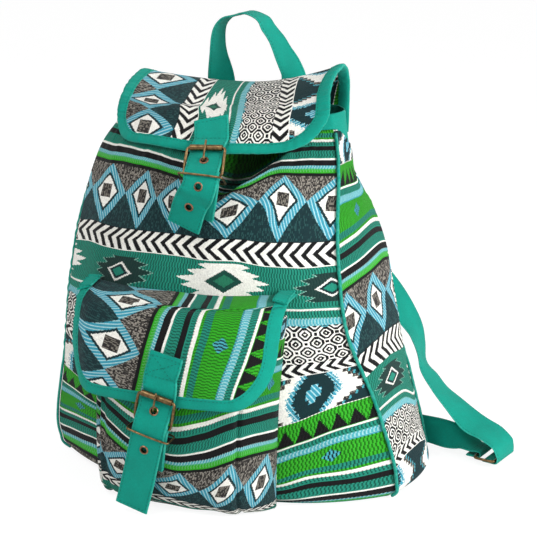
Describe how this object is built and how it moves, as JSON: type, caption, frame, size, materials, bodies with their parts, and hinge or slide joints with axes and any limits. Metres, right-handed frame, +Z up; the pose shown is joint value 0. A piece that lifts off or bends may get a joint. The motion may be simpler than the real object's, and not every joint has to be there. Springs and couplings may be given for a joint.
{
  "type": "backpack",
  "caption": "Soft woven rucksack with a front-buckled lid over its open mouth, a flapped front pocket with its own buckle, a carrying loop and two canvas shoulder straps.",
  "frame": {"origin": "on the underside of the base panel, under the middle of the bag's body", "axes": "X across the bag to the right seen from the front, Y from the pocket side to the back, Z up"},
  "size_m": [0.4329, 0.3224, 0.4194],
  "materials": {
    "jacquard": "heavy woven cotton with banded geometric figures in teal, green, light blue, black and white, matt",
    "teal_canvas": "plain woven cotton canvas, matt",
    "antique_brass": "dark antique plating, satin"
  },
  "bodies": {
    "bag": {"front_panel": "jacquard", "right_side_panel": "jacquard", "back_panel": "jacquard", "left_side_panel": "jacquard", "lid_flap": "jacquard", "pocket_body": "jacquard", "pocket_flap": "jacquard", "base_panel": "teal_canvas", "mouth_band": "teal_canvas", "piping_front_right": "teal_canvas", "piping_back_right": "teal_canvas", "piping_back_left": "teal_canvas", "piping_front_left": "teal_canvas", "lid_binding": "teal_canvas", "lid_strap": "teal_canvas", "lid_buckle_tab": "teal_canvas", "pocket_flap_binding": "teal_canvas", "pocket_strap": "teal_canvas", "pocket_buckle_tab": "teal_canvas", "grab_handle": "teal_canvas", "shoulder_strap_right": "teal_canvas", "shoulder_strap_left": "teal_canvas", "lower_strap_right": "teal_canvas", "lower_strap_left": "teal_canvas", "strap_anchor_patch": "teal_canvas", "lid_strap_eyelet_1": "antique_brass", "lid_strap_eyelet_2": "antique_brass", "lid_strap_eyelet_3": "antique_brass", "lid_buckle_frame": "antique_brass", "lid_buckle_keeper": "antique_brass", "pocket_strap_eyelet_1": "antique_brass", "pocket_strap_eyelet_2": "antique_brass", "pocket_buckle_frame": "antique_brass", "pocket_buckle_keeper": "antique_brass", "strap_adjuster_right": "antique_brass", "strap_adjuster_left": "antique_brass"},
    "lid_roller": {"lid_buckle_roller": "antique_brass"},
    "lid_prong": {"lid_buckle_prong": "antique_brass"},
    "pocket_roller": {"pocket_buckle_roller": "antique_brass"},
    "pocket_prong": {"pocket_buckle_prong": "antique_brass"}
  },
  "joints": [
    {"name": "lid_roller_turn", "type": "hinge", "parent": "bag", "child": "lid_roller", "pos_m": [0.00514, -0.09213, 0.31621], "axis": [0.9943, 0.1021, 0.0306], "continuous": true},
    {"name": "lid_prong_lift", "type": "hinge", "parent": "bag", "child": "lid_prong", "pos_m": [0.00729, -0.1066, 0.29472], "axis": [0.9943, 0.1021, 0.0306], "range_deg": [0, 5]},
    {"name": "pocket_roller_turn", "type": "hinge", "parent": "bag", "child": "pocket_roller", "pos_m": [-0.00963, -0.17292, 0.1136], "axis": [0.9757, -0.0041, -0.2189], "continuous": true},
    {"name": "pocket_prong_lift", "type": "hinge", "parent": "bag", "child": "pocket_prong", "pos_m": [-0.0153, -0.1712, 0.08828], "axis": [0.9757, -0.0041, -0.2189], "range_deg": [0, 5]}
  ]
}
